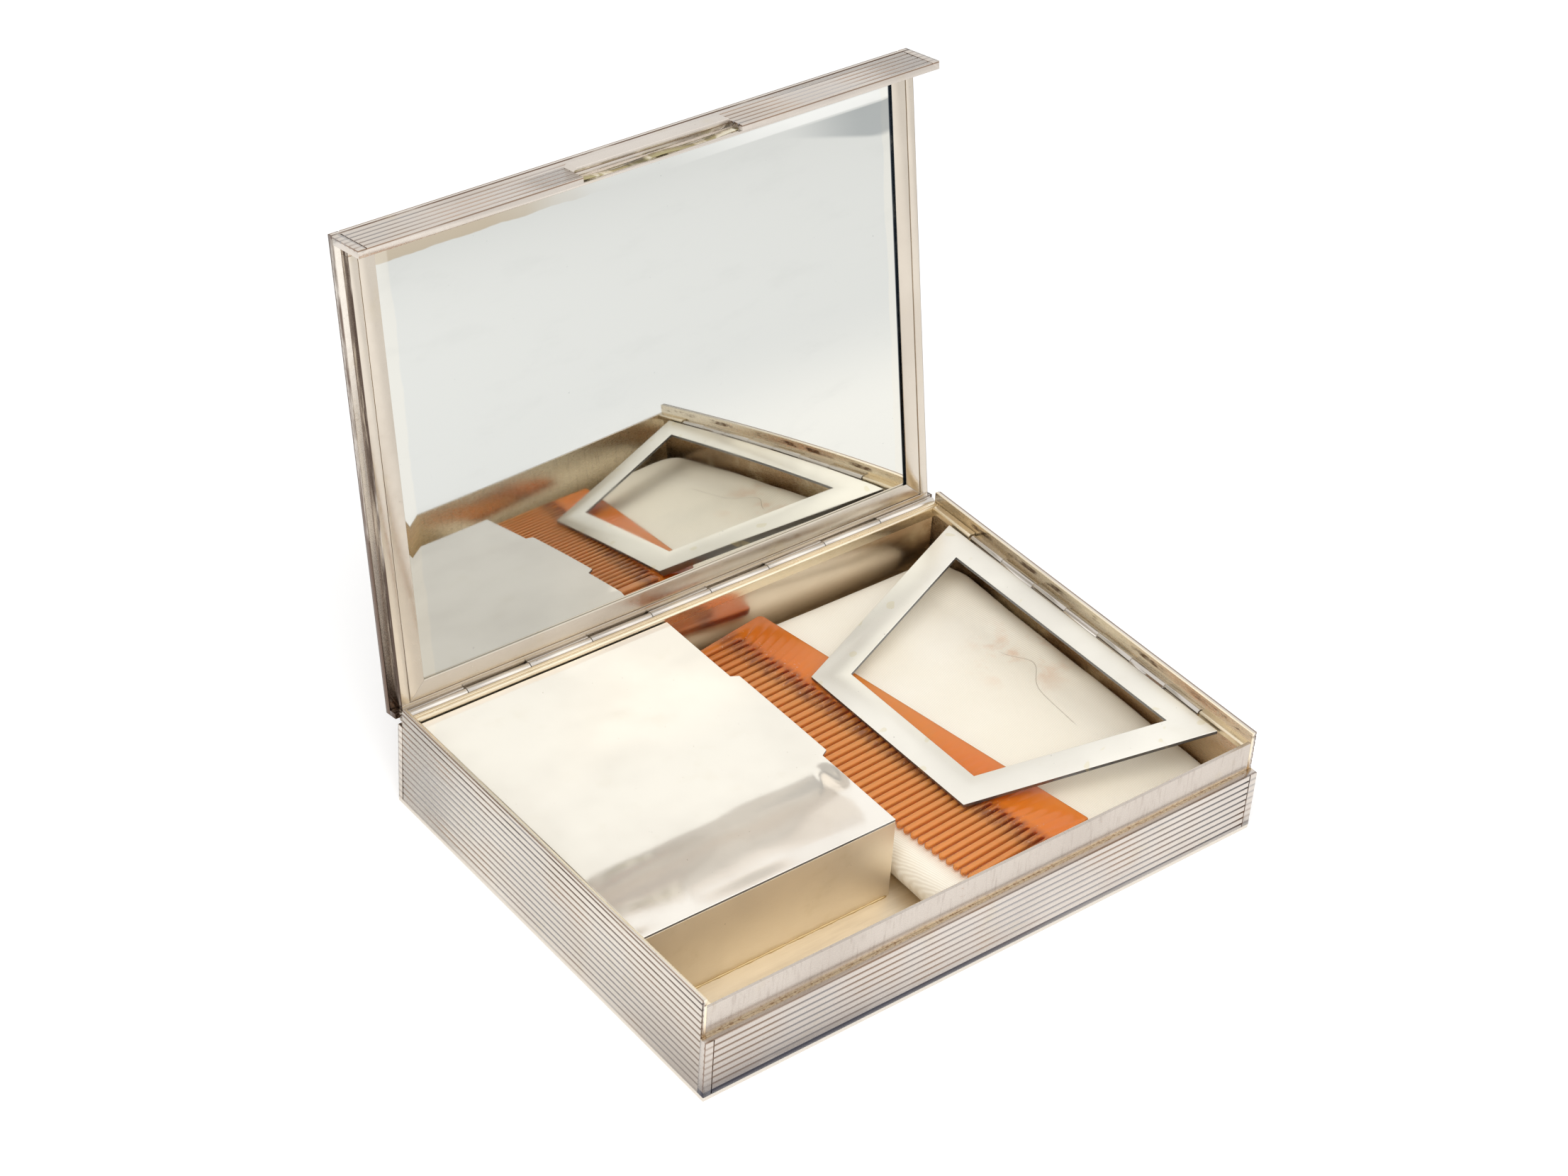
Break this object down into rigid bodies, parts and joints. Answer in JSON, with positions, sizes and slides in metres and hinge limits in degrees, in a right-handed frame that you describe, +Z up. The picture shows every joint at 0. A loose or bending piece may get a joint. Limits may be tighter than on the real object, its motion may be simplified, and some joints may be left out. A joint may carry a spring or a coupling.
{
  "type": "vanity case",
  "caption": "Reeded silver vanity case with a hinged mirrored lid, covered powder box, lipstick channel, satin pouch, comb and hinged retaining frame.",
  "frame": {"origin": "centre of the base's bottom face, lid left out", "axes": "+Z up, +Y from the front panel to the lid hinge, +X to the right seen from the front"},
  "size_m": [0.15, 0.1358, 0.1335],
  "materials": {
    "case_silver": "satin",
    "fitting_silver": "satin",
    "pin_metal": "satin",
    "gilt_spring": "satin",
    "mirror_glass": "polished",
    "backing_card": "matte",
    "amber_plastic": "gloss",
    "pouch_fabric": "satin"
  },
  "bodies": {
    "base": {"bottom_plate": "case_silver", "left_wall": "case_silver", "right_wall": "case_silver", "back_wall": "case_silver", "front_lip": "case_silver", "front_panel": "case_silver", "left_ledge": "case_silver", "right_ledge": "case_silver", "back_ledge": "case_silver", "base_hinge_knuckles": "case_silver", "lid_hinge_pin": "pin_metal", "powder_box_front": "case_silver", "powder_box_side": "case_silver", "powder_base_knuckles": "case_silver", "powder_hinge_pin": "pin_metal", "frame_base_knuckles": "case_silver", "frame_hinge_pin": "pin_metal", "pouch": "pouch_fabric"},
    "lid": {"lid_plate": "case_silver", "lid_flange": "case_silver", "lid_left_rail": "case_silver", "lid_right_rail": "case_silver", "lid_front_rail": "case_silver", "lid_back_rail": "case_silver", "lid_hinge_knuckles": "case_silver", "bezel_left": "case_silver", "bezel_right": "case_silver", "bezel_front": "case_silver", "bezel_back": "case_silver", "mirror_glass": "mirror_glass", "mirror_backing": "backing_card", "thumb_plate": "case_silver"},
    "powder_cover": {"powder_lid": "fitting_silver", "powder_lid_knuckles": "fitting_silver"},
    "frame": {"retaining_frame": "fitting_silver", "frame_knuckles": "fitting_silver"},
    "comb": {"comb": "amber_plastic"},
    "catch_spring": {"catch_spring": "gilt_spring"}
  },
  "joints": [
    {"name": "lid_hinge", "type": "hinge", "parent": "base", "child": "lid", "pos_m": [0, 0.0556, 0.0225], "axis": [1, 0, 0], "range_deg": [0, 100]},
    {"name": "powder_lid_hinge", "type": "hinge", "parent": "base", "child": "powder_cover", "pos_m": [-0.07265, 0.012, 0.0218], "axis": [0, 1, 0], "range_deg": [-95, 0]},
    {"name": "frame_hinge", "type": "hinge", "parent": "base", "child": "frame", "pos_m": [0.07265, 0, 0.0222], "axis": [0, -1, 0], "range_deg": [-105, 0]},
    {"name": "comb_slide", "type": "slide", "parent": "base", "child": "comb", "axis": [1, 0, 0], "range_m": [0, 0.036]},
    {"name": "catch_press", "type": "slide", "parent": "lid", "child": "catch_spring", "axis": [0, 0.1736, 0.9848], "range_m": [0, 0.0003], "stiffness_N_per_m": 1500}
  ]
}
